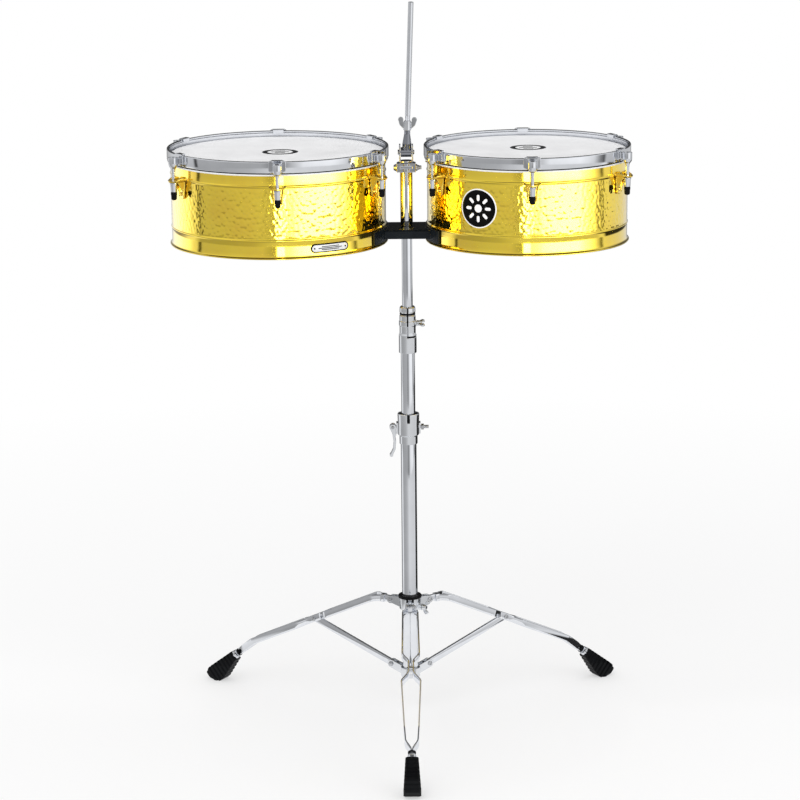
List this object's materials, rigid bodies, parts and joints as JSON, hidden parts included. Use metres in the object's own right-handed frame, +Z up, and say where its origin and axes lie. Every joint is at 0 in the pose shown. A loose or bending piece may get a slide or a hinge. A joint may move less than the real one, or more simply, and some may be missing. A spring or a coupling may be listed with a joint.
{
  "type": "timbales",
  "caption": "Hammered brass timbales, a larger and a smaller drum, on a chrome tripod stand that folds and telescopes, with a swivelling bracket and an accessory rod.",
  "frame": {"origin": "on the floor, on the axis of the stand's column", "axes": "+Z up along the column, -Y towards the player and the front leg, +X towards the smaller drum"},
  "size_m": [0.8225, 0.6843, 1.3149],
  "materials": {
    "chrome": "mirror-bright chrome plate",
    "cast_chrome": "chrome plate on castings and pressings, slightly softened",
    "steel_bolt": "zinc-bright screws and pins",
    "hammered_brass": "polished brass, hand-hammered between two beads",
    "gold_plate": "bright gold-coloured plate",
    "drum_head": "satin white coated film",
    "flesh_hoop": "bright rolled aluminium",
    "black_coat": "black powder coat",
    "black_nylon": "moulded black nylon",
    "black_rubber": "matt black ribbed rubber",
    "badge_enamel": "gloss black with a bright rim",
    "nameplate_metal": "brushed plate with a dark border"
  },
  "bodies": {
    "base": {"base_tube": "chrome", "brace_hub": "cast_chrome", "brace_hub_pins": "steel_bolt", "base_clamp": "cast_chrome", "base_clamp_bushing": "black_nylon", "clamp_bolt": "steel_bolt", "cam_pin": "steel_bolt"},
    "cam_lever": {"cam_lever": "cast_chrome"},
    "brace_front": {"brace_front": "chrome"},
    "brace_left": {"brace_left": "chrome"},
    "brace_right": {"brace_right": "chrome"},
    "leg_front": {"leg_front_bars": "chrome", "leg_front_bolt": "steel_bolt", "leg_front_ferrule": "chrome", "foot_front": "black_rubber"},
    "leg_left": {"leg_left_bars": "chrome", "leg_left_bolt": "steel_bolt", "leg_left_ferrule": "chrome", "foot_left": "black_rubber"},
    "leg_right": {"leg_right_bars": "chrome", "leg_right_bolt": "steel_bolt", "leg_right_ferrule": "chrome", "foot_right": "black_rubber"},
    "leg_hub": {"leg_hub": "cast_chrome", "leg_hub_bushing": "black_nylon", "leg_hub_pins": "steel_bolt"},
    "hub_wing_bolt": {"hub_wing_bolt": "cast_chrome"},
    "mid_section": {"mid_tube": "chrome", "mid_clamp": "cast_chrome", "mid_clamp_bushing": "black_nylon"},
    "mid_wing_bolt": {"mid_wing_bolt": "cast_chrome"},
    "upper_section": {"upper_tube": "chrome", "upper_tube_bushing": "black_nylon"},
    "drums": {"bracket_plate": "black_coat", "bracket_bolts": "black_coat", "bracket_tube": "chrome", "bracket_collar": "cast_chrome", "collar_bolt": "steel_bolt", "left_shell": "hammered_brass", "right_shell": "hammered_brass", "left_head": "drum_head", "right_head": "drum_head", "left_flesh_hoop": "flesh_hoop", "right_flesh_hoop": "flesh_hoop", "left_hoop": "chrome", "right_hoop": "chrome", "left_lug_brackets": "gold_plate", "right_lug_brackets": "gold_plate", "lug_bolts": "gold_plate", "tension_hooks": "chrome", "tuning_nuts": "chrome", "nut_caps": "black_rubber", "badge": "badge_enamel", "nameplate": "nameplate_metal"},
    "post_yoke": {"post_yoke": "cast_chrome", "yoke_pin": "steel_bolt"},
    "post_tilter": {"post_tilter": "cast_chrome"},
    "rod_wing_nut": {"rod_wing_nut": "cast_chrome"},
    "rod": {"rod": "chrome"}
  },
  "joints": [
    {"name": "cam_lever_pivot", "type": "hinge", "parent": "base", "child": "cam_lever", "pos_m": [-0.0288, 0.019, 0.543], "axis": [0, 1, 0], "range_deg": [0, 120]},
    {"name": "brace_front_fold", "type": "hinge", "parent": "base", "child": "brace_front", "pos_m": [0, -0.0383, 0.0925], "axis": [-1, 0, 0], "range_deg": [0, 55]},
    {"name": "leg_front_fold", "type": "hinge", "parent": "brace_front", "child": "leg_front", "pos_m": [0, -0.20515, 0.1545], "axis": [1, 0, 0], "range_deg": [0, 110]},
    {"name": "brace_left_fold", "type": "hinge", "parent": "base", "child": "brace_left", "pos_m": [-0.03317, 0.01915, 0.0925], "axis": [0.5, 0.866, 0], "range_deg": [0, 55]},
    {"name": "leg_left_fold", "type": "hinge", "parent": "brace_left", "child": "leg_left", "pos_m": [-0.17767, 0.10258, 0.1545], "axis": [-0.5, -0.866, 0], "range_deg": [0, 110]},
    {"name": "brace_right_fold", "type": "hinge", "parent": "base", "child": "brace_right", "pos_m": [0.03317, 0.01915, 0.0925], "axis": [0.5, -0.866, 0], "range_deg": [0, 55]},
    {"name": "leg_right_fold", "type": "hinge", "parent": "brace_right", "child": "leg_right", "pos_m": [0.17767, 0.10258, 0.1545], "axis": [-0.5, 0.866, 0], "range_deg": [0, 110]},
    {"name": "leg_hub_lift", "type": "hinge", "parent": "leg_front", "child": "leg_hub", "pos_m": [0, -0.0383, 0.2165], "axis": [-1, 0, 0], "range_deg": [0, 55]},
    {"name": "hub_wing_bolt_turn", "type": "hinge", "parent": "leg_hub", "child": "hub_wing_bolt", "pos_m": [0.02321, -0.0134, 0.21], "axis": [0.866, -0.5, 0], "continuous": true},
    {"name": "mid_tube_slide", "type": "slide", "parent": "base", "child": "mid_section", "axis": [0, 0, 1], "range_m": [-0.1, 0.2]},
    {"name": "mid_wing_bolt_turn", "type": "hinge", "parent": "mid_section", "child": "mid_wing_bolt", "pos_m": [0.0198, 0, 0.7395], "axis": [1, 0, 0], "continuous": true},
    {"name": "upper_tube_slide", "type": "slide", "parent": "mid_section", "child": "upper_section", "axis": [0, 0, 1], "range_m": [-0.12, 0.15]},
    {"name": "drum_swivel", "type": "hinge", "parent": "upper_section", "child": "drums", "pos_m": [0, 0, 0.95], "axis": [0, 0, 1], "continuous": true},
    {"name": "post_swivel", "type": "hinge", "parent": "upper_section", "child": "post_yoke", "pos_m": [0, 0, 1.02], "axis": [0, 0, 1], "continuous": true},
    {"name": "post_tilt", "type": "hinge", "parent": "post_yoke", "child": "post_tilter", "pos_m": [0, 0, 1.049], "axis": [1, 0, 0], "range_deg": [-80, 80]},
    {"name": "rod_wing_nut_turn", "type": "hinge", "parent": "post_tilter", "child": "rod_wing_nut", "pos_m": [0.00258, 0, 1.09245], "axis": [0.0366, 0, 0.9993], "continuous": true},
    {"name": "rod_slide", "type": "slide", "parent": "post_tilter", "child": "rod", "axis": [0.0366, 0, 0.9993], "range_m": [0, 0.015]}
  ],
  "couplings": [
    {"joint": "brace_left_fold", "follows": "brace_front_fold", "ratio": 1},
    {"joint": "brace_right_fold", "follows": "brace_front_fold", "ratio": 1},
    {"joint": "leg_front_fold", "follows": "brace_front_fold", "ratio": 2},
    {"joint": "leg_left_fold", "follows": "brace_front_fold", "ratio": 2},
    {"joint": "leg_right_fold", "follows": "brace_front_fold", "ratio": 2},
    {"joint": "leg_hub_lift", "follows": "brace_front_fold", "ratio": 1}
  ]
}
